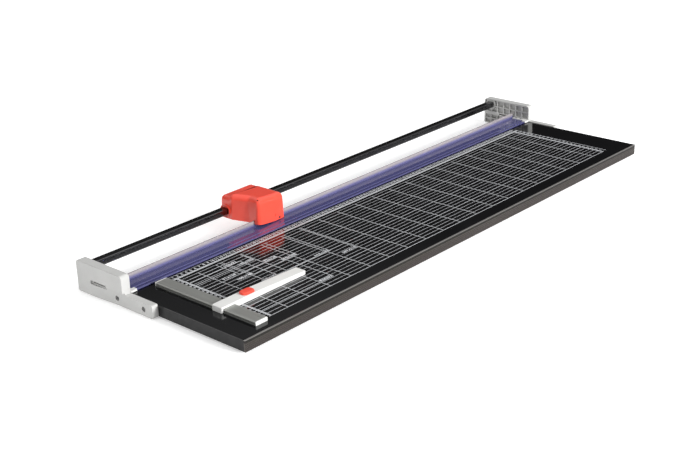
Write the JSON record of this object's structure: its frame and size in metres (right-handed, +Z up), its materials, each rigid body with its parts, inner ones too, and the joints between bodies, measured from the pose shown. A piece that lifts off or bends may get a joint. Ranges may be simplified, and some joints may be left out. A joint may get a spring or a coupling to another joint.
{
  "type": "rotary paper trimmer",
  "caption": "Desk rotary paper trimmer: printed table, sliding cutting head on a guide rail, clear clamp strip, side fence with a sliding stop.",
  "frame": {"origin": "under the middle of the machine, on the surface its feet stand on", "axes": "+X along the cut, +Y from the user's edge to the guide rail, +Z up"},
  "size_m": [1.174, 0.384, 0.0806],
  "materials": {
    "board": "matt black board",
    "sheet": "glossy black printed surface",
    "edge": "black edging",
    "profile": "dark anodised, grooved",
    "blade_steel": "ground steel",
    "screw_steel": "zinc plated",
    "rubber": "black rubber",
    "bracket": "light grey moulded, fine texture",
    "rail": "black anodised, semi gloss",
    "fence": "satin anodised",
    "white_plastic": "white moulded",
    "clear_strip": "blue tinted transparent",
    "red_plastic": "red moulded, satin gloss",
    "black_plastic": "black acetal"
  },
  "bodies": {
    "root": {"table_board": "board", "table_top_sheet": "sheet", "end_edge_left": "edge", "end_edge_right": "edge", "front_edge_profile": "profile", "counter_blade": "blade_steel", "counter_blade_screws": "screw_steel", "rubber_feet": "rubber", "foot_screws": "screw_steel", "left_end_bracket": "bracket", "right_end_bracket": "bracket", "bracket_screws": "screw_steel", "rail_lock_screws": "screw_steel", "guide_rail": "rail", "side_fence": "fence", "fence_cap_front": "white_plastic", "fence_cap_back": "white_plastic", "fence_screws": "screw_steel", "clamp_lift_springs": "blade_steel"},
    "clamp": {"clamp_strip": "clear_strip", "clamp_clip_left": "white_plastic", "clamp_clip_right": "white_plastic", "clamp_rivets": "screw_steel"},
    "head": {"head_housing": "red_plastic", "head_rear_cover": "red_plastic", "cover_screws": "screw_steel", "head_face_screw": "screw_steel", "rail_bushing_left": "red_plastic", "rail_bushing_right": "red_plastic", "recess_liner": "rubber", "blade_carrier": "blade_steel", "blade_axle": "blade_steel", "axle_nut": "screw_steel", "blade_spring": "blade_steel", "roller_axle": "red_plastic"},
    "disc": {"cutting_disc": "blade_steel", "disc_hub": "black_plastic"},
    "roller": {"pressure_roller": "rubber", "roller_core": "blade_steel"},
    "stop": {"stop_arm": "white_plastic", "lock_spring": "blade_steel"},
    "button": {"lock_button": "red_plastic"},
    "bolt": {"lock_bolt": "black_plastic"}
  },
  "joints": [
    {"name": "head_slide", "type": "slide", "parent": "root", "child": "head", "axis": [1, 0, 0], "range_m": [-0.3057, 0.7322]},
    {"name": "disc_spin", "type": "hinge", "parent": "head", "child": "disc", "pos_m": [-0.2125, 0.118, 0.0445], "axis": [0, 1, 0], "range_deg": [-788, 1875]},
    {"name": "roller_spin", "type": "hinge", "parent": "head", "child": "roller", "pos_m": [-0.203, 0.11, 0.039], "axis": [0, 1, 0], "range_deg": [-1482, 3535]},
    {"name": "clamp_press", "type": "slide", "parent": "root", "child": "clamp", "axis": [0, 0, -1], "range_m": [0, 0.0008], "stiffness_N_per_m": 3000, "springref_m": -0.002, "deforming": ["clamp_lift_springs"]},
    {"name": "stop_slide", "type": "slide", "parent": "root", "child": "stop", "axis": [0, 1, 0], "range_m": [-0.0683, 0.1368]},
    {"name": "lock_press", "type": "slide", "parent": "stop", "child": "button", "axis": [0, 0, -1], "range_m": [0, 0.002], "stiffness_N_per_m": 800, "springref_m": -0.002, "deforming": ["lock_spring"]},
    {"name": "bolt_draw", "type": "slide", "parent": "stop", "child": "bolt", "axis": [1, 0, 0], "range_m": [0, 0.001]}
  ],
  "couplings": [
    {"joint": "disc_spin", "follows": "head_slide", "rad_per_m": 44.444},
    {"joint": "roller_spin", "follows": "head_slide", "rad_per_m": 84.034},
    {"joint": "bolt_draw", "follows": "lock_press", "ratio": 0.5}
  ]
}
